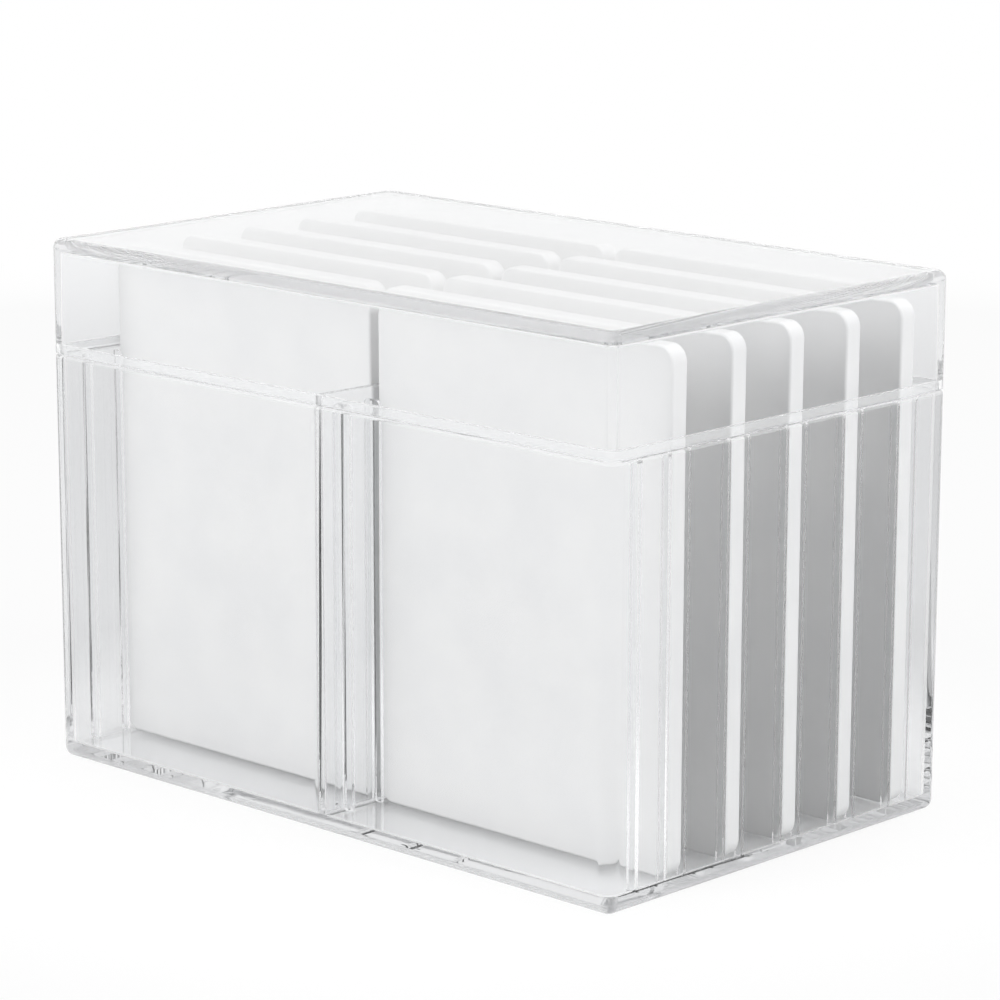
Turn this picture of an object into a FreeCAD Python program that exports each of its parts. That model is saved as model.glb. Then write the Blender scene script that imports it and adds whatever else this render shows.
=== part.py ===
import FreeCAD, Part
import math
import os

# False eyelash storage box: a clear moulded case with a lift-off lid, holding white lash tiles on edge
# in upright slots. Millimetres, +Z up. The origin is the centre of the underside, +X runs along the
# long front to the right, and the front long wall is at -Y.

# Overall size
box_length = 185.0  # along X
box_depth = 116.0  # along Y
box_height = 130.0  # underside to the top of the lid
parting_height = 101.8  # level of the seam between base and lid
corner_radius = 3.0  # outer upright corners of base and lid

# Base moulding
floor_thickness = 3.6
base_wall_top = 2.3  # wall at the rim
base_wall_foot = 2.5  # wall at the floor, thicker by the draft
base_foot_radius = 2.5  # rounding of the underside's edge
base_inner_corner = 2.4  # upright inner corners at the end walls
web_inner_corner = 1.0  # upright inner corners at the web
base_inner_foot = 0.8  # rounding where the compartment floor meets its walls
web_top = 1.6  # middle web at the rim
web_foot = 2.0  # middle web at the floor
lip_height = 2.2  # inner lip that the lid closes over
skirt_thickness = 1.1  # outer skirt of the lid, outside the lip
seam_clearance = 0.12  # between lip and skirt, and above the lip

# Lid moulding
lid_top_thickness = 3.2
lid_wall_edge = 2.3  # wall beside the lip
lid_wall_root = 2.6  # wall under the top, thicker by the draft
lid_top_radius = 2.2  # rounding of the top's edge
lid_inner_corner = 1.0  # upright inner corners
lid_inner_root = 0.6  # rounding where the ceiling meets its walls

# Lash tiles
tile_rows = 5
tile_thickness = 5.0
tile_headroom = 2.6  # between the tops of the tiles and the lid's ceiling
tile_corner_radius = 4.0
tile_edge_break = 0.5  # slope round the rims of both faces
tile_side_clearance = 0.25  # to the end wall and to the web, at the floor
first_tile_face = 20.7  # front wall's outer face to the first tile's front
rear_space = 11.1  # last tile's back to the back wall's outer face

# Slot ribs
rib_depth = 2.0  # reach out of the wall
rib_root = 0.95  # thickness of a slot rib at the wall
rib_taper = 0.1  # how much thinner a rib is at its tip
rib_front_clearance = 0.45  # between a tile and the rib in front of it
rib_rear_clearance = 0.2  # between a tile and the rib behind it
rib_drop = 1.1  # top of the ribs under the seam
rib_nose_radius = 1.2  # lead-in at the top of each rib
rib_embed = 0.4  # overlap into the wall that carries the rib
front_rib_face = 9.1  # front wall's outer face to the front rib
front_rib_root = 1.7  # thickness of the front rib at the wall

half_length = box_length / 2
half_depth = box_depth / 2
lip_top = parting_height + lip_height
ceiling_height = box_height - lid_top_thickness
tile_height = ceiling_height - tile_headroom - floor_thickness
tile_pitch = (box_depth - first_tile_face - tile_thickness - rear_space) / (tile_rows - 1)
rib_top = parting_height - rib_drop


def rounded_wire(x_low, x_high, y_low, y_high, radii, level):
    """Rectangle with round corners, flat at the given level: one radius for each end along X."""
    low, high = radii
    low_reach, high_reach = (radius * (1 - math.sqrt(0.5)) for radius in radii)
    corners = [
        ((x_low, y_low + low), (x_low + low_reach, y_low + low_reach), (x_low + low, y_low)),
        ((x_high - high, y_low), (x_high - high_reach, y_low + high_reach), (x_high, y_low + high)),
        ((x_high, y_high - high), (x_high - high_reach, y_high - high_reach), (x_high - high, y_high)),
        ((x_low + low, y_high), (x_low + low_reach, y_high - low_reach), (x_low, y_high - low)),
    ]
    points = [[FreeCAD.Vector(x, y, level) for x, y in corner] for corner in corners]
    edges = []
    for index, (start, middle, end) in enumerate(points):
        following = points[(index + 1) % len(points)][0]
        edges.append(Part.Arc(start, middle, end).toShape())
        edges.append(Part.LineSegment(end, following).toShape())
    return Part.Wire(edges)


def drafted_block(low_outline, high_outline):
    """Solid between two level outlines, so that its sides carry the mould's draft."""
    return Part.makeLoft([low_outline, high_outline], True, True)


def outline(inset, radius, level):
    """Outline of the whole box, moved in by an inset."""
    x = half_length - inset
    y = half_depth - inset
    return rounded_wire(-x, x, -y, y, (radius, radius), level)


def level_edges(shape, level):
    """Edges that lie in one level plane."""
    tolerance = 1e-4
    found = []
    for edge in shape.Edges:
        box = edge.BoundBox
        if abs(box.ZMin - level) < tolerance and abs(box.ZMax - level) < tolerance:
            found.append(edge)
    return found


def wall_at(level):
    """Thickness of the base wall at a level, between its foot and its rim."""
    share = (level - floor_thickness) / (lip_top - floor_thickness)
    return base_wall_foot + (base_wall_top - base_wall_foot) * share


def web_at(level):
    """Thickness of the middle web at a level."""
    share = (level - floor_thickness) / (lip_top - floor_thickness)
    return web_foot + (web_top - web_foot) * share


def compartment(side):
    """Hollow of one compartment: side is -1 for the left one and +1 for the right one."""
    levels = (floor_thickness, lip_top)
    radii = (web_inner_corner, base_inner_corner)[::side]
    outlines = []
    for level in levels:
        near = web_at(level) / 2
        far = half_length - wall_at(level)
        x_low = min(side * near, side * far)
        x_high = max(side * near, side * far)
        y = half_depth - wall_at(level)
        outlines.append(rounded_wire(x_low, x_high, -y, y, radii, level))
    hollow = drafted_block(*outlines)
    return hollow.makeFillet(base_inner_foot, level_edges(hollow, floor_thickness))


def tile_fronts():
    """Front face of each row of tiles, as a place along Y."""
    return [-half_depth + first_tile_face + row * tile_pitch for row in range(tile_rows)]


def rib_places():
    """Front face and thickness of each rib along Y: the front rib, then one before and one behind each tile."""
    places = [(-half_depth + front_rib_face, front_rib_root)]
    for front in tile_fronts():
        places.append((front - rib_front_clearance - rib_root, rib_root))
        places.append((front + tile_thickness + rib_rear_clearance, rib_root))
    return places


def rib(front, thickness, foot_x, top_x, direction):
    """Upright rib on a wall face that leans from foot_x to top_x: it reaches out along direction."""
    taper = rib_taper / 2

    def section(wall_x, level):
        root = wall_x - direction * rib_embed
        tip = wall_x + direction * rib_depth
        corners = [
            (root, front),
            (tip, front + taper),
            (tip, front + thickness - taper),
            (root, front + thickness),
        ]
        points = [FreeCAD.Vector(x, y, level) for x, y in corners]
        return Part.makePolygon(points + [points[0]])

    foot_level = floor_thickness - rib_embed
    body = drafted_block(section(foot_x, foot_level), section(top_x, rib_top))
    nose = [
        edge
        for edge in level_edges(body, rib_top)
        if abs(edge.BoundBox.XMax - edge.BoundBox.XMin) < rib_embed
        and direction * (edge.CenterOfMass.x - top_x) > 0
    ]
    return body.makeFillet(rib_nose_radius, nose)


def build_base():
    """Clear base: floor, walls, middle web, slot ribs and the inner lip."""
    body = Part.Face(outline(0, corner_radius, 0)).extrude(FreeCAD.Vector(0, 0, parting_height))
    body = body.makeFillet(base_foot_radius, level_edges(body, 0))
    lip_inset = skirt_thickness + seam_clearance
    lip_radius = corner_radius - lip_inset
    lip = Part.Face(outline(lip_inset, lip_radius, parting_height))
    body = body.fuse(lip.extrude(FreeCAD.Vector(0, 0, lip_height)))
    body = body.cut(compartment(-1)).cut(compartment(1))
    foot_wall = half_length - base_wall_foot
    top_wall = half_length - wall_at(rib_top)
    foot_web = web_foot / 2
    top_web = web_at(rib_top) / 2
    ribs = []
    for front, thickness in rib_places():
        for side in (-1, 1):
            ribs.append(rib(front, thickness, side * foot_wall, side * top_wall, -side))
            ribs.append(rib(front, thickness, side * foot_web, side * top_web, side))
    return body.multiFuse(ribs).removeSplitter()


def build_lid():
    """Clear lid: flat top, short drafted walls and the outer skirt over the lip."""
    step_level = lip_top + seam_clearance
    body = Part.Face(outline(0, corner_radius, parting_height))
    body = body.extrude(FreeCAD.Vector(0, 0, box_height - parting_height))
    body = body.makeFillet(lid_top_radius, level_edges(body, box_height))
    hollow = drafted_block(
        outline(lid_wall_edge, lid_inner_corner, step_level),
        outline(lid_wall_root, lid_inner_corner, ceiling_height),
    )
    hollow = hollow.makeFillet(lid_inner_root, level_edges(hollow, ceiling_height))
    skirt_radius = corner_radius - skirt_thickness
    rebate = Part.Face(outline(skirt_thickness, skirt_radius, parting_height))
    rebate = rebate.extrude(FreeCAD.Vector(0, 0, step_level - parting_height))
    return body.cut(hollow).cut(rebate).removeSplitter()


def build_tile(side, front):
    """White lash tile standing on the floor in its slot."""
    x_low = web_foot / 2 + tile_side_clearance
    x_high = half_length - base_wall_foot - tile_side_clearance
    if side < 0:
        x_low, x_high = -x_high, -x_low
    flat = rounded_wire(x_low, x_high, 0, tile_height, (tile_corner_radius, tile_corner_radius), 0)
    plate = Part.Face(flat).extrude(FreeCAD.Vector(0, 0, tile_thickness))
    rims = level_edges(plate, 0) + level_edges(plate, tile_thickness)
    plate = plate.makeChamfer(tile_edge_break, rims)
    plate.rotate(FreeCAD.Vector(0, 0, 0), FreeCAD.Vector(1, 0, 0), 90)
    plate.translate(FreeCAD.Vector(0, front + tile_thickness, floor_thickness))
    return plate


nodes = {"base_case": build_base(), "lid": build_lid()}
for side_name, side_sign in (("left", -1), ("right", 1)):
    for row, front_face in enumerate(tile_fronts(), start=1):
        nodes[f"tile_{side_name}_{row}"] = build_tile(side_sign, front_face)

os.makedirs("parts", exist_ok=True)
for name, shape in nodes.items():
    shape.exportStep(f"parts/{name}.step")
    print(name, "solids", len(shape.Solids), "valid", shape.isValid(), "volume", round(shape.Volume, 1))
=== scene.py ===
import math

import bmesh
import bpy
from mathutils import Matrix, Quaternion, Vector


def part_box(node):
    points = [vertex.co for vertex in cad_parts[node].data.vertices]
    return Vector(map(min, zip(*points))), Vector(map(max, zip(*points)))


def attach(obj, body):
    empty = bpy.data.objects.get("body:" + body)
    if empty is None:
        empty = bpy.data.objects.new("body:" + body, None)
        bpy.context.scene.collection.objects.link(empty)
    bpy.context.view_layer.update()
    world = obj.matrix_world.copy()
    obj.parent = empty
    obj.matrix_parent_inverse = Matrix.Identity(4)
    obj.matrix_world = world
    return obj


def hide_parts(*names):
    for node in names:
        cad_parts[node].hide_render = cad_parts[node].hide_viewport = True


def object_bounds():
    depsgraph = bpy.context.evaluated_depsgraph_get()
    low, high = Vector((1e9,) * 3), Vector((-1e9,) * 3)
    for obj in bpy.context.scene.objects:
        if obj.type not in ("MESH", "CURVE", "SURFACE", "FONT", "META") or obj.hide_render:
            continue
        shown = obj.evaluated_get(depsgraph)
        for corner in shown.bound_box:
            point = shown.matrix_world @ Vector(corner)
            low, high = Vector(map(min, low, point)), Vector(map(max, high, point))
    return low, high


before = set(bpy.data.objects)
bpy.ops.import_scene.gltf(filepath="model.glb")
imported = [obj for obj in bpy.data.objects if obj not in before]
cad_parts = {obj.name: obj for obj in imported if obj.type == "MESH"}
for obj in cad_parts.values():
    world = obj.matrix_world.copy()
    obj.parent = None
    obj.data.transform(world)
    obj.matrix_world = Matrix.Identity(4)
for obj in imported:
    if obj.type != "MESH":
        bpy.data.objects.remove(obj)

mm = 0.001
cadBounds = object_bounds()


def inMm(metres):
    return round(metres / mm, 2)


# the box as a whole, in mm from the middle of its underside
boxSize = {
    "halfLength": inMm(cadBounds[1].x),
    "halfDepth": inMm(cadBounds[1].y),
    "height": inMm(cadBounds[1].z),
    "seam": inMm(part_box("lid")[0].z),  # level where the lid meets the base
    "lipTop": inMm(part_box("base_case")[1].z),
    "cornerRadius": 3.0,  # outer upright corners, base and lid alike
    "cornerSteps": 12,
    "outerSkin": 0.2,  # depth within which an edge counts as on the outer wall
    "overshoot": 4.0,  # how far a cutting shape runs past what it cuts
}

# how corners and edges are told apart
search = {
    "sameSpot": 2e-6,  # metres within which two places count as one
    "upright": 0.9,  # share of a direction that points up
    "corner": 1.0,  # radians between two faces, past which their edge is a corner
    "leftover": 1e-7,  # metres; shorter edges left by a boolean are merged away
}


# mesh helpers
def startBox(low, high):
    bm = bmesh.new()
    addBox(bm, low, high)
    return bm


def addBox(bm, low, high):
    made = bmesh.ops.create_cube(bm, size=1)["verts"]
    low, high = Vector(low) * mm, Vector(high) * mm
    bmesh.ops.scale(bm, vec=high - low, verts=made)
    bmesh.ops.translate(bm, vec=(high + low) / 2, verts=made)
    return made


def roundEdges(bm, edges, radius, segments):
    bmesh.ops.bevel(
        bm, geom=edges, offset=radius * mm, offset_type="OFFSET", segments=segments,
        profile=0.5, affect="EDGES", material=-1, clamp_overlap=True,
    )


def isNear(place, wanted):  # both in metres
    return abs(place - wanted) < search["sameSpot"]


def isCorner(edge):
    return edge.calc_face_angle(0) > search["corner"]


def uprightEdges(bm):
    found = []
    for edge in bm.edges:
        run = edge.verts[1].co - edge.verts[0].co
        if abs(run.z) > search["upright"] * run.length and isCorner(edge):
            found.append(edge)
    return found


def levelEdges(bm, level):
    flat = [e for e in bm.edges if all(isNear(v.co.z, level * mm) for v in e.verts)]
    return [e for e in flat if isCorner(e)]


def spread(bm, level, amount):  # moves the corners at one level outwards, for the mould's draft
    middle = sum((v.co for v in bm.verts), Vector()) / len(bm.verts)
    for v in bm.verts:
        if isNear(v.co.z, level * mm):
            v.co.x += math.copysign(amount * mm, v.co.x - middle.x)
            v.co.y += math.copysign(amount * mm, v.co.y - middle.y)


def makeObject(name, bm):
    bmesh.ops.recalc_face_normals(bm, faces=bm.faces)
    mesh = bpy.data.meshes.new(name)
    bm.to_mesh(mesh)
    bm.free()
    made = bpy.data.objects.new(name, mesh)
    bpy.context.scene.collection.objects.link(made)
    return made


def combine(target, tool, operation):
    cut = target.modifiers.new("combine", "BOOLEAN")
    cut.operation = operation
    cut.solver = "EXACT"
    cut.object = tool
    depsgraph = bpy.context.evaluated_depsgraph_get()
    mesh = bpy.data.meshes.new_from_object(target.evaluated_get(depsgraph))
    target.modifiers.clear()
    target.data = mesh
    bpy.data.objects.remove(tool)


def isOutside(edge):  # on the outer wall of the box, round corners too
    middle = (edge.verts[0].co + edge.verts[1].co) / 2
    radius = boxSize["cornerRadius"] * mm
    past = [
        abs(middle.x) - boxSize["halfLength"] * mm + radius,
        abs(middle.y) - boxSize["halfDepth"] * mm + radius,
    ]
    reach = math.hypot(*past) if min(past) > 0 else max(past)
    return reach > radius - boxSize["outerSkin"] * mm


def softenEdges(target, level, radius, segments, outsideOnly=False):
    bm = bmesh.new()
    bm.from_mesh(target.data)
    bmesh.ops.dissolve_degenerate(bm, dist=search["leftover"], edges=bm.edges)
    edges = [e for e in levelEdges(bm, level) if isOutside(e) or not outsideOnly]
    roundEdges(bm, edges, radius, segments)
    bm.to_mesh(target.data)
    bm.free()


shading = {
    "sharpAngle": 32,  # degrees between two faces, past which their edge stays sharp
    "flatWeight": 100,  # how much the large faces rule the shading of the small ones beside them
    "satinMark": "satin",  # face attribute that says how satin the plastic is there
}


def finishShading(target):
    mesh = target.data
    mesh.polygons.foreach_set("use_smooth", [True] * len(mesh.polygons))
    mesh.set_sharp_from_angle(angle=math.radians(shading["sharpAngle"]))
    keep = target.modifiers.new("flat faces stay flat", "WEIGHTED_NORMAL")
    keep.mode = "FACE_AREA"
    keep.weight = shading["flatWeight"]
    keep.keep_sharp = True


def satinBands(target, bands):  # how satin the faces between two levels are
    mark = target.data.attributes.new(shading["satinMark"], "FLOAT", "FACE")
    for face in target.data.polygons:
        for low, high, amount in bands:
            if low * mm < face.center.z < high * mm:
                mark.data[face.index].value = amount


def dress(target, material, bands=()):
    finishShading(target)
    target.data.materials.clear()
    target.data.materials.append(material)
    if bands:
        satinBands(target, bands)


# node helpers
def newMaterial(name):
    made = bpy.data.materials.new(name)
    made.use_nodes = True
    made.node_tree.nodes.clear()
    return made, made.node_tree


def addNode(tree, kind, entries=None, **choices):  # each entry is a fixed value or another node's output
    made = tree.nodes.new(f"ShaderNode{kind}")
    for name, choice in choices.items():
        setattr(made, name, choice)
    for name, entry in (entries or {}).items():
        if isinstance(entry, bpy.types.NodeSocket):
            tree.links.new(entry, made.inputs[name])
        else:
            made.inputs[name].default_value = entry
    return made


def addMath(tree, operation, *terms):
    return addNode(tree, "Math", dict(enumerate(terms)), operation=operation).outputs["Value"]


def addRange(tree, value, source, result=(0, 1), **choices):
    entries = {"Value": value, "From Min": source[0], "From Max": source[1]}
    entries.update({"To Min": result[0], "To Max": result[1]})
    return addNode(tree, "MapRange", entries, **choices).outputs["Result"]


# clear plastic
clearPlastic = {
    "tint": (0.96, 0.963, 0.968, 1),  # what is left after one wall
    "ior": 1.49,
    "depthTint": (0.9, 0.902, 0.906, 1),  # with the density, what long runs inside a wall lose
    "depthDensity": 12,
    "through": (0.988, 0.989, 0.99, 1),  # what one surface lets through on the way to a lamp
    "slantThrough": (0.3, 0.303, 0.306, 1),  # the same where the light only grazes it
    "slantPower": 4,
    "trappedAfter": 22,  # bounces after which light caught inside a wall goes straight out
    "waveScale": 38,
    "waveDetail": 1,
    "waveHeight": 0.00002,
    "polishScale": 260,
    "polishDetail": 3,
    "polishNoise": (0.35, 0.75),  # part of the noise that the polish follows
    "polish": (0.0, 0.012),
    "satin": 0.06,  # how much rougher the lip is, and the rebate that closes over it
    "milk": 0.22,  # share of these faces that is milky
}


def addClearShell(tree):  # moulding waves, polish haze, and satin on the marked faces
    place = addNode(tree, "TexCoord").outputs["Object"]
    wave = addNode(tree, "TexNoise", {
        "Vector": place, "Scale": clearPlastic["waveScale"], "Detail": clearPlastic["waveDetail"],
    })
    bump = addNode(tree, "Bump", {"Distance": clearPlastic["waveHeight"], "Height": wave.outputs["Fac"]})
    polish = addNode(tree, "TexNoise", {
        "Vector": place, "Scale": clearPlastic["polishScale"], "Detail": clearPlastic["polishDetail"],
    })
    haze = addRange(tree, polish.outputs["Fac"], clearPlastic["polishNoise"], clearPlastic["polish"])
    marked = addNode(tree, "Attribute", attribute_name=shading["satinMark"]).outputs["Fac"]
    return addNode(tree, "BsdfPrincipled", {
        "Base Color": clearPlastic["tint"],
        "IOR": clearPlastic["ior"],
        "Roughness": addMath(tree, "MULTIPLY_ADD", marked, clearPlastic["satin"], haze),
        "Transmission Weight": addMath(tree, "MULTIPLY_ADD", marked, -clearPlastic["milk"], 1),
        "Normal": bump.outputs["Normal"],
    }).outputs["BSDF"]


def addStraightPass(tree):  # lets light straight through, less of it where it grazes the surface
    slant = addNode(tree, "LayerWeight").outputs["Facing"]
    loss = addNode(tree, "MixRGB", {
        "Fac": addMath(tree, "POWER", slant, clearPlastic["slantPower"]),
        "Color1": clearPlastic["through"],
        "Color2": clearPlastic["slantThrough"],
    })
    return addNode(tree, "BsdfTransparent", {"Color": loss.outputs["Color"]}).outputs["BSDF"]


def addStraightRays(tree):  # 1 on the way to a lamp, from a matt surface, or caught too long in a wall
    path = addNode(tree, "LightPath").outputs
    matt = addMath(tree, "MAXIMUM", path["Is Shadow Ray"], path["Is Diffuse Ray"])
    trapped = addMath(tree, "GREATER_THAN", path["Ray Depth"], clearPlastic["trappedAfter"])
    return addMath(tree, "MAXIMUM", matt, trapped)


def makeClearPlastic():
    made, tree = newMaterial("clear_plastic")
    mix = addNode(tree, "MixShader", {
        "Fac": addStraightRays(tree), 1: addClearShell(tree), 2: addStraightPass(tree),
    })
    inside = addNode(tree, "VolumeAbsorption", {
        "Color": clearPlastic["depthTint"], "Density": clearPlastic["depthDensity"],
    })
    addNode(tree, "OutputMaterial", {"Surface": mix.outputs["Shader"], "Volume": inside.outputs["Volume"]})
    return made


# white tile plastic
whitePlastic = {
    "lowColor": (0.835, 0.837, 0.84, 1),
    "highColor": (0.87, 0.87, 0.868, 1),
    "cloudScale": 55,
    "cloudDetail": 4,
    "cloudNoise": (0.35, 0.65),  # where the noise has the low colour, and where the high one
    "grainScale": 2600,
    "grainDetail": 2,
    "grainHeight": 0.00001,
    "grainStrength": 0.5,
    "rough": (0.42, 0.55),
    "ior": 1.49,
}


def makeWhitePlastic():
    made, tree = newMaterial("white_tile")
    place = addNode(tree, "TexCoord").outputs["Object"]
    cloud = addNode(tree, "TexNoise", {
        "Vector": place, "Scale": whitePlastic["cloudScale"], "Detail": whitePlastic["cloudDetail"],
    }).outputs["Fac"]
    tone = addNode(tree, "ValToRGB", {"Fac": cloud})
    stops = zip(tone.color_ramp.elements, whitePlastic["cloudNoise"], ("lowColor", "highColor"))
    for stop, position, key in stops:
        stop.position = position
        stop.color = whitePlastic[key]
    grain = addNode(tree, "TexNoise", {
        "Vector": place, "Scale": whitePlastic["grainScale"], "Detail": whitePlastic["grainDetail"],
    })
    bump = addNode(tree, "Bump", {
        "Strength": whitePlastic["grainStrength"],
        "Distance": whitePlastic["grainHeight"],
        "Height": grain.outputs["Fac"],
    })
    shell = addNode(tree, "BsdfPrincipled", {
        "Base Color": tone.outputs["Color"],
        "Roughness": addRange(tree, cloud, (0, 1), whitePlastic["rough"]),
        "IOR": whitePlastic["ior"],
        "Normal": bump.outputs["Normal"],
    })
    addNode(tree, "OutputMaterial", {"Surface": shell.outputs["BSDF"]})
    return made


plasticMaterial = makeClearPlastic()
tileMaterial = makeWhitePlastic()
print("materials: clear plastic and white tile")

# base, in mm
baseCase = {
    "floor": 3.6,
    "footRadius": 2.5,
    "footSteps": 10,
    "wallFoot": 2.5,  # wall thickness at the floor
    "webFoot": 2.0,
    "draft": 0.2,  # how far each wall leans out up to the rim
    "innerCorner": 2.4,  # at the end walls
    "webCorner": 1.0,
    "webCornerSteps": 6,
    "innerFoot": 0.8,
    "innerFootSteps": 5,
    "lipInset": 1.22,  # the lid's skirt, and its play
    "edgeBreak": 0.3,  # top of the lip
    "edgeSteps": 3,
    "shoulderRadius": 0.9,  # outer edge just under the seam
    "shoulderSteps": 5,
    "satin": [(100.8, 104.1, 1.0)],  # from, to and how much: shoulder and lip
}
slotRib = {
    "depth": 2.0,
    "root": 0.95,
    "taper": 0.1,  # how much thinner at the tip
    "embed": 0.4,  # how far it reaches into the wall and the floor
    "top": 100.7,  # level of its top
    "nose": 1.2,  # lead-in at the top
    "noseSteps": 6,
    "frontGap": 0.45,  # play in front of a tile
    "rearGap": 0.2,
    "frontRib": 9.1,  # from the front of the box to the single thicker rib
    "frontRibRoot": 1.7,
}
tileRows = range(1, 1 + sum(name.startswith("tile_left_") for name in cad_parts))


def leanAt(level):  # how far the drafted walls have leaned out at a level
    return baseCase["draft"] * (level - baseCase["floor"]) / (boxSize["lipTop"] - baseCase["floor"])


def makeOuterBase():
    x, y = boxSize["halfLength"], boxSize["halfDepth"]
    bm = startBox((-x, -y, 0), (x, y, boxSize["seam"]))
    roundEdges(bm, uprightEdges(bm), boxSize["cornerRadius"], boxSize["cornerSteps"])
    roundEdges(bm, levelEdges(bm, 0), baseCase["footRadius"], baseCase["footSteps"])
    rim = [
        f for f in bm.faces
        if f.normal.z > search["upright"] and isNear(f.calc_center_median().z, boxSize["seam"] * mm)
    ]
    bmesh.ops.inset_region(bm, faces=rim, thickness=baseCase["lipInset"] * mm, use_even_offset=True)
    lifted = bmesh.ops.extrude_face_region(bm, geom=rim)["geom"]
    rise = (boxSize["lipTop"] - boxSize["seam"]) * mm
    bmesh.ops.translate(bm, vec=(0, 0, rise), verts=[g for g in lifted if isinstance(g, bmesh.types.BMVert)])
    bmesh.ops.delete(bm, geom=[f for f in rim if f.is_valid], context="FACES_ONLY")
    return makeObject("base_case_clear", bm)


def makeHollow(side):  # the room of one compartment, left -1 or right 1
    near = side * baseCase["webFoot"] / 2
    far = side * (boxSize["halfLength"] - baseCase["wallFoot"])
    y = boxSize["halfDepth"] - baseCase["wallFoot"]
    top = boxSize["lipTop"] + boxSize["overshoot"]
    bm = startBox((min(near, far), -y, baseCase["floor"]), (max(near, far), y, top))
    spread(bm, top, leanAt(top))
    middle = (near + far) / 2 * mm
    atWeb = [e for e in uprightEdges(bm) if (e.verts[0].co.x - middle) * side < 0]
    roundEdges(bm, atWeb, baseCase["webCorner"], baseCase["webCornerSteps"])
    atEnd = [e for e in uprightEdges(bm) if (e.verts[0].co.x - middle) * side > 0]
    roundEdges(bm, atEnd, baseCase["innerCorner"], boxSize["cornerSteps"])
    roundEdges(bm, levelEdges(bm, baseCase["floor"]), baseCase["innerFoot"], baseCase["innerFootSteps"])
    return makeObject("hollow", bm)


def addRib(bm, wallFoot, wallLean, direction, front, thickness):
    low, top = baseCase["floor"] - slotRib["embed"], slotRib["top"]
    root = wallFoot - direction * slotRib["embed"]
    tip = wallFoot + direction * slotRib["depth"]
    made = addBox(bm, (min(root, tip), front, low), (max(root, tip), front + thickness, top))
    middle = (front + thickness / 2) * mm
    nose = []
    for v in made:
        atTip, atTop = isNear(v.co.x, tip * mm), isNear(v.co.z, top * mm)
        if atTip:  # the tip is thinner than the root
            v.co.y -= math.copysign(slotRib["taper"] / 2 * mm, v.co.y - middle)
        if atTop:
            v.co.x += wallLean * mm
        if atTip and atTop:
            nose.append(v)
    roundEdges(bm, [bm.edges.get(nose)], slotRib["nose"], slotRib["noseSteps"])


def ribPlaces():  # front and thickness of each rib: one thick one, then one before and one behind each tile
    places = [(-boxSize["halfDepth"] + slotRib["frontRib"], slotRib["frontRibRoot"])]
    for row in tileRows:
        tileFront, tileBack = (inMm(corner.y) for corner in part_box(f"tile_left_{row}"))
        places.append((tileFront - slotRib["frontGap"] - slotRib["root"], slotRib["root"]))
        places.append((tileBack + slotRib["rearGap"], slotRib["root"]))
    return places


def makeRibs():
    lean = leanAt(slotRib["top"])
    endWall = boxSize["halfLength"] - baseCase["wallFoot"]
    web = baseCase["webFoot"] / 2
    bm = bmesh.new()
    for front, thickness in ribPlaces():
        for side in (-1, 1):
            addRib(bm, side * endWall, side * lean, -side, front, thickness)
            addRib(bm, side * web, -side * lean, side, front, thickness)
    return makeObject("ribs", bm)


baseShown = makeOuterBase()
combine(baseShown, makeHollow(-1), "DIFFERENCE")
combine(baseShown, makeHollow(1), "DIFFERENCE")
softenEdges(baseShown, boxSize["lipTop"], baseCase["edgeBreak"], baseCase["edgeSteps"])
softenEdges(
    baseShown, boxSize["seam"], baseCase["shoulderRadius"], baseCase["shoulderSteps"], outsideOnly=True,
)
combine(baseShown, makeRibs(), "UNION")
dress(baseShown, plasticMaterial, baseCase["satin"])
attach(baseShown, "base")
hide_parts("base_case")
print("base:", len(baseShown.data.polygons), "faces")

# lid, in mm
lidCover = {
    "top": 3.2,
    "wallEdge": 2.3,  # wall thickness beside the lip
    "wallRoot": 2.6,  # the same under the top
    "topRadius": 2.2,
    "topSteps": 10,
    "innerCorner": 1.0,
    "innerCornerSteps": 8,
    "innerRoot": 0.6,
    "innerRootSteps": 5,
    "skirt": 1.1,
    "lipGap": 0.12,
    "seamGap": 0.06,  # air between the skirt and the shoulder of the base
    "overlap": 1.0,  # how far the hollow reaches down into the rebate
    "edgeBreak": 0.3,  # foot of the skirt, and step of the rebate
    "edgeSteps": 3,
    "satin": [(102.3, 104.2, 1.0), (127.82, 129.98, 0.5)],  # rebate, top edge
}


def makeOuterLid(foot):
    x, y = boxSize["halfLength"], boxSize["halfDepth"]
    bm = startBox((-x, -y, foot), (x, y, boxSize["height"]))
    roundEdges(bm, uprightEdges(bm), boxSize["cornerRadius"], boxSize["cornerSteps"])
    roundEdges(bm, levelEdges(bm, boxSize["height"]), lidCover["topRadius"], lidCover["topSteps"])
    return makeObject("lid_clear", bm)


def makeRebate(foot, step):
    x, y = boxSize["halfLength"] - lidCover["skirt"], boxSize["halfDepth"] - lidCover["skirt"]
    bm = startBox((-x, -y, foot - boxSize["overshoot"]), (x, y, step))
    radius = boxSize["cornerRadius"] - lidCover["skirt"]
    roundEdges(bm, uprightEdges(bm), radius, boxSize["cornerSteps"])
    return makeObject("rebate", bm)


def makeLidHollow(step):
    x, y = boxSize["halfLength"] - lidCover["wallRoot"], boxSize["halfDepth"] - lidCover["wallRoot"]
    ceiling = boxSize["height"] - lidCover["top"]
    under = step - lidCover["overlap"]
    lean = (lidCover["wallRoot"] - lidCover["wallEdge"]) * (ceiling - under) / (ceiling - step)
    bm = startBox((-x, -y, under), (x, y, ceiling))
    spread(bm, under, lean)
    roundEdges(bm, uprightEdges(bm), lidCover["innerCorner"], lidCover["innerCornerSteps"])
    roundEdges(bm, levelEdges(bm, ceiling), lidCover["innerRoot"], lidCover["innerRootSteps"])
    return makeObject("inside", bm)


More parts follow.
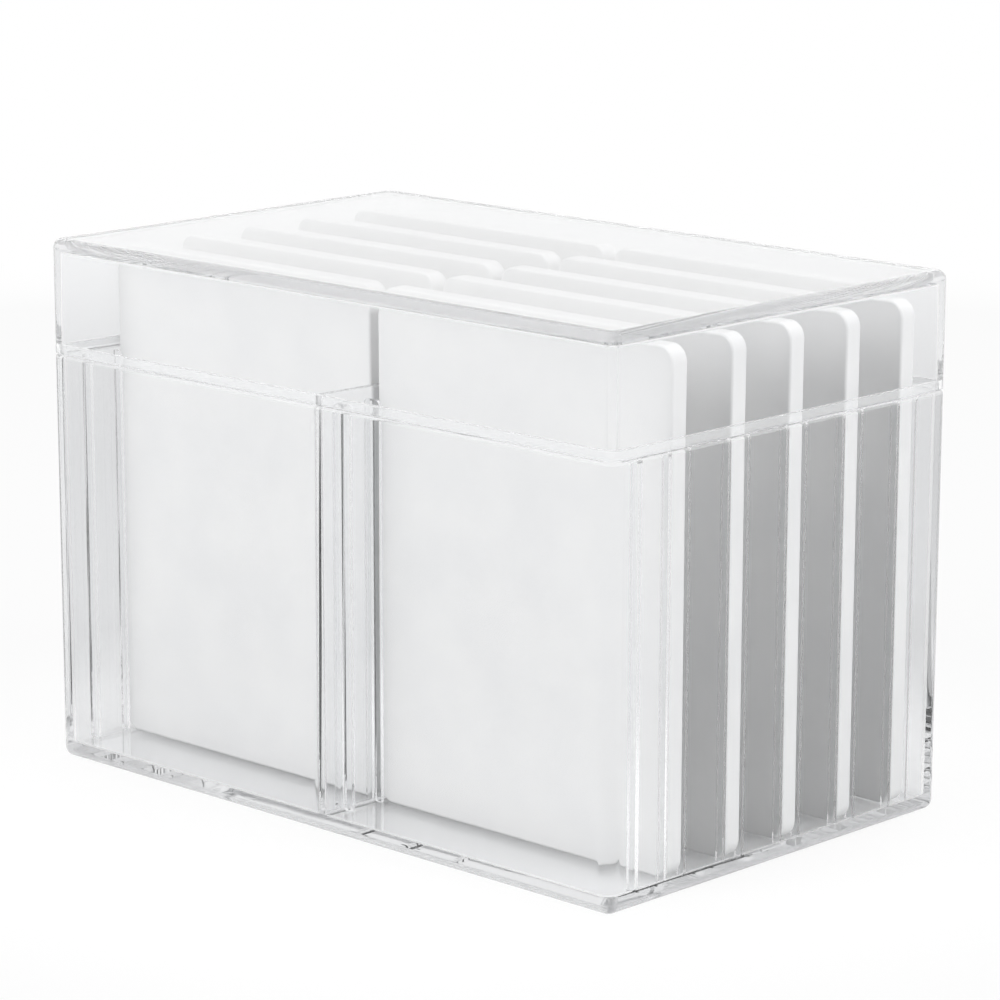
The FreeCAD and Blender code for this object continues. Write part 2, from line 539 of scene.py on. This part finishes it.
lidFoot = boxSize["seam"] + lidCover["seamGap"]
rebateStep = boxSize["lipTop"] + lidCover["lipGap"]
lidShown = makeOuterLid(lidFoot)
combine(lidShown, makeRebate(lidFoot, rebateStep), "DIFFERENCE")
combine(lidShown, makeLidHollow(rebateStep), "DIFFERENCE")
for level in (lidFoot, rebateStep):
    softenEdges(lidShown, level, lidCover["edgeBreak"], lidCover["edgeSteps"])
dress(lidShown, plasticMaterial, lidCover["satin"])
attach(lidShown, "cover")
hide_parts("lid")
print("lid:", len(lidShown.data.polygons), "faces")

# lash tiles, in mm
lashTile = {
    "cornerRadius": 4.0,
    "cornerSteps": 10,
    "edgeRadius": 0.7,
    "edgeSteps": 4,
    "floorGap": 0.04,  # keeps the foot of a tile out of the floor's own surface
}


def makeTile(node):
    low, high = ([inMm(v) for v in corner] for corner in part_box(node))
    low[2] += lashTile["floorGap"]
    bm = startBox(low, high)
    across = [e for e in bm.edges if not isNear(e.verts[0].co.y, e.verts[1].co.y)]
    roundEdges(bm, across, lashTile["cornerRadius"], lashTile["cornerSteps"])
    rims = [e for e in bm.edges if isCorner(e)]
    roundEdges(bm, rims, lashTile["edgeRadius"], lashTile["edgeSteps"])
    return makeObject(f"{node}_white", bm)


for sideName in ("left", "right"):
    for row in tileRows:
        node = f"tile_{sideName}_{row}"
        tile = makeTile(node)
        dress(tile, tileMaterial)
        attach(tile, f"{node}_body")
        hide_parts(node)
print("tiles:", 2 * len(tileRows))

# floor, in metres
stageFloor = {
    "size": 6.0,
    "level": -0.0003,
    "underColor": (0.95, 0.95, 0.95, 1),
    # painted shade: a darker floor tone around the box, standing in for the box's shadow there
    "paintedShadeColor": (0.68, 0.682, 0.685, 1),
    "paintedShadeRing": (0.1, 0.2),  # from the middle, where the pale tone turns into the painted shade
    "cloudScale": 6,
    "cloudShare": 0.1,  # how much the tone is clouded with the painted shade colour
    "bounceColor": (0.6, 0.6, 0.6, 1),  # what it throws back onto the box
    "white": 1,  # plain white, as the background is
    "shadowReach": (0.3, 0.8),  # from the middle, where plain white takes over
    "shadowSoftness": 0.88,  # share of plain white that lies over the shadow
    "glassReach": (0.35, 1.0),  # the same distances, seen through the clear walls
}


def addWhiteShare(tree, path, distance):  # how white the floor is, for the camera and through the clear walls
    nearBox, throughGlass = (
        addRange(tree, distance, stageFloor[key], interpolation_type="SMOOTHSTEP")
        for key in ("shadowReach", "glassReach")
    )
    softened = addMath(tree, "MAXIMUM", nearBox, stageFloor["shadowSoftness"])
    direct = addMath(tree, "MULTIPLY", softened, path["Is Camera Ray"])
    glassRay = addMath(tree, "MAXIMUM", path["Is Glossy Ray"], path["Is Transmission Ray"])
    return addMath(tree, "MAXIMUM", direct, addMath(tree, "MULTIPLY", throughGlass, glassRay))


def addPaper(tree, path, place, distance):  # pale tone with painted shade: darker around the box, in place of its shadow seen through the clear walls
    cloud = addNode(tree, "TexNoise", {"Vector": place, "Scale": stageFloor["cloudScale"]})
    paintedShadeMask = addRange(tree, distance, stageFloor["paintedShadeRing"], interpolation_type="SMOOTHSTEP")
    tone = addNode(tree, "MixRGB", {
        "Fac": addMath(tree, "MULTIPLY_ADD", cloud.outputs["Fac"], stageFloor["cloudShare"], paintedShadeMask),
        "Color1": stageFloor["underColor"],
        "Color2": stageFloor["paintedShadeColor"],
    })
    bounce = addNode(tree, "MixRGB", {
        "Fac": path["Is Diffuse Ray"],
        "Color1": tone.outputs["Color"],
        "Color2": stageFloor["bounceColor"],
    })
    return addNode(tree, "BsdfDiffuse", {"Color": bounce.outputs["Color"]}).outputs["BSDF"]


def makeFloorMaterial():
    made, tree = newMaterial("pale_floor")
    path = addNode(tree, "LightPath").outputs
    place = addNode(tree, "TexCoord").outputs["Object"]
    distance = addNode(tree, "VectorMath", {0: place}, operation="LENGTH").outputs["Value"]
    mix = addNode(tree, "MixShader", {
        "Fac": addWhiteShare(tree, path, distance),
        1: addPaper(tree, path, place, distance),
        2: addNode(tree, "Emission", {"Strength": stageFloor["white"]}).outputs["Emission"],
    })
    addNode(tree, "OutputMaterial", {"Surface": mix.outputs["Shader"]})
    return made


floorMesh = bmesh.new()
bmesh.ops.create_grid(floorMesh, x_segments=1, y_segments=1, size=stageFloor["size"] / 2)
bmesh.ops.translate(floorMesh, vec=(0, 0, stageFloor["level"]), verts=floorMesh.verts)
floorShown = makeObject("stage_floor", floorMesh)
floorShown.data.materials.append(makeFloorMaterial())
print("floor")

# room and lamps, in metres and watts
studioLight = {
    "ambient": 0.27,
    "background": 1.0,  # the room as the camera and the clear walls see it
    "aim": (0, 0, 0.06),
    "lamps": [  # name, place, size, watts
        ("front_softbox", (-0.35, -1.4, 0.8), 1.5, 21.0),
        ("right_softbox", (1.5, 0.35, 0.7), 1.2, 18.5),
        ("top_softbox", (0.0, 0.1, 1.5), 1.4, 10.8),
        ("back_softbox", (-0.7, 1.4, 0.8), 1.5, 5.5),
    ],
}


def makeRoom():
    world = bpy.data.worlds.new("white_studio")
    world.use_nodes = True
    tree = world.node_tree
    tree.nodes.clear()
    path = addNode(tree, "LightPath").outputs
    seen = addMath(tree, "MAXIMUM", path["Is Camera Ray"], path["Is Glossy Ray"])
    light, white = (
        addNode(tree, "Background", {"Color": (1, 1, 1, 1), "Strength": studioLight[key]})
        for key in ("ambient", "background")
    )
    mix = addNode(tree, "MixShader", {
        "Fac": addMath(tree, "MAXIMUM", seen, path["Is Transmission Ray"]),
        1: light.outputs["Background"],
        2: white.outputs["Background"],
    })
    addNode(tree, "OutputWorld", {"Surface": mix.outputs["Shader"]})
    bpy.context.scene.world = world


def makeLamp(name, place, size, watts):
    lamp = bpy.data.lights.new(name, "AREA")
    lamp.shape = "SQUARE"
    lamp.size = size
    lamp.energy = watts
    holder = bpy.data.objects.new(name, lamp)
    holder.location = place
    holder.rotation_mode = "QUATERNION"
    holder.rotation_quaternion = (Vector(place) - Vector(studioLight["aim"])).to_track_quat("Z", "Y")
    holder.visible_glossy = False  # the clear walls mirror the white room, not the lamps
    holder.visible_transmission = False
    bpy.context.scene.collection.objects.link(holder)


makeRoom()
for lampSettings in studioLight["lamps"]:
    makeLamp(*lampSettings)
print("lights:", len(studioLight["lamps"]))

# camera, in metres, degrees and mm of film
photoCamera = {
    "place": (0.65988, -0.68347, 0.28278),
    "azimuth": 43.838,
    "elevation": 14.026,
    "roll": 0.092,
    "lens": 145.92,
    "filmWidth": 36,
    "shiftUp": 0.1,
    "nearest": 0.01,
}


def makeCamera():
    azimuth, elevation, roll = (math.radians(photoCamera[key]) for key in ("azimuth", "elevation", "roll"))
    back = Vector((
        math.sin(azimuth) * math.cos(elevation),
        -math.cos(azimuth) * math.cos(elevation),
        math.sin(elevation),
    ))
    camera = bpy.data.objects.new("photo_camera", bpy.data.cameras.new("photo_camera"))
    camera.data.lens = photoCamera["lens"]
    camera.data.sensor_width = photoCamera["filmWidth"]
    camera.data.shift_y = photoCamera["shiftUp"]
    camera.data.clip_start = photoCamera["nearest"]
    camera.rotation_mode = "QUATERNION"
    camera.rotation_quaternion = (-back).to_track_quat("-Z", "Y") @ Quaternion((0, 0, 1), roll)
    camera.location = photoCamera["place"]
    bpy.context.scene.collection.objects.link(camera)
    bpy.context.scene.camera = camera


makeCamera()

# how often light may bounce: the slotted clear walls take many turns
lightBounces = {
    "max_bounces": 40,
    "transmission_bounces": 40,
    "glossy_bounces": 40,
    "diffuse_bounces": 6,
    "transparent_max_bounces": 32,
}
for name, most in lightBounces.items():
    setattr(bpy.context.scene.cycles, name, most)
bpy.context.scene.view_settings.view_transform = "Standard"
print("camera and view")
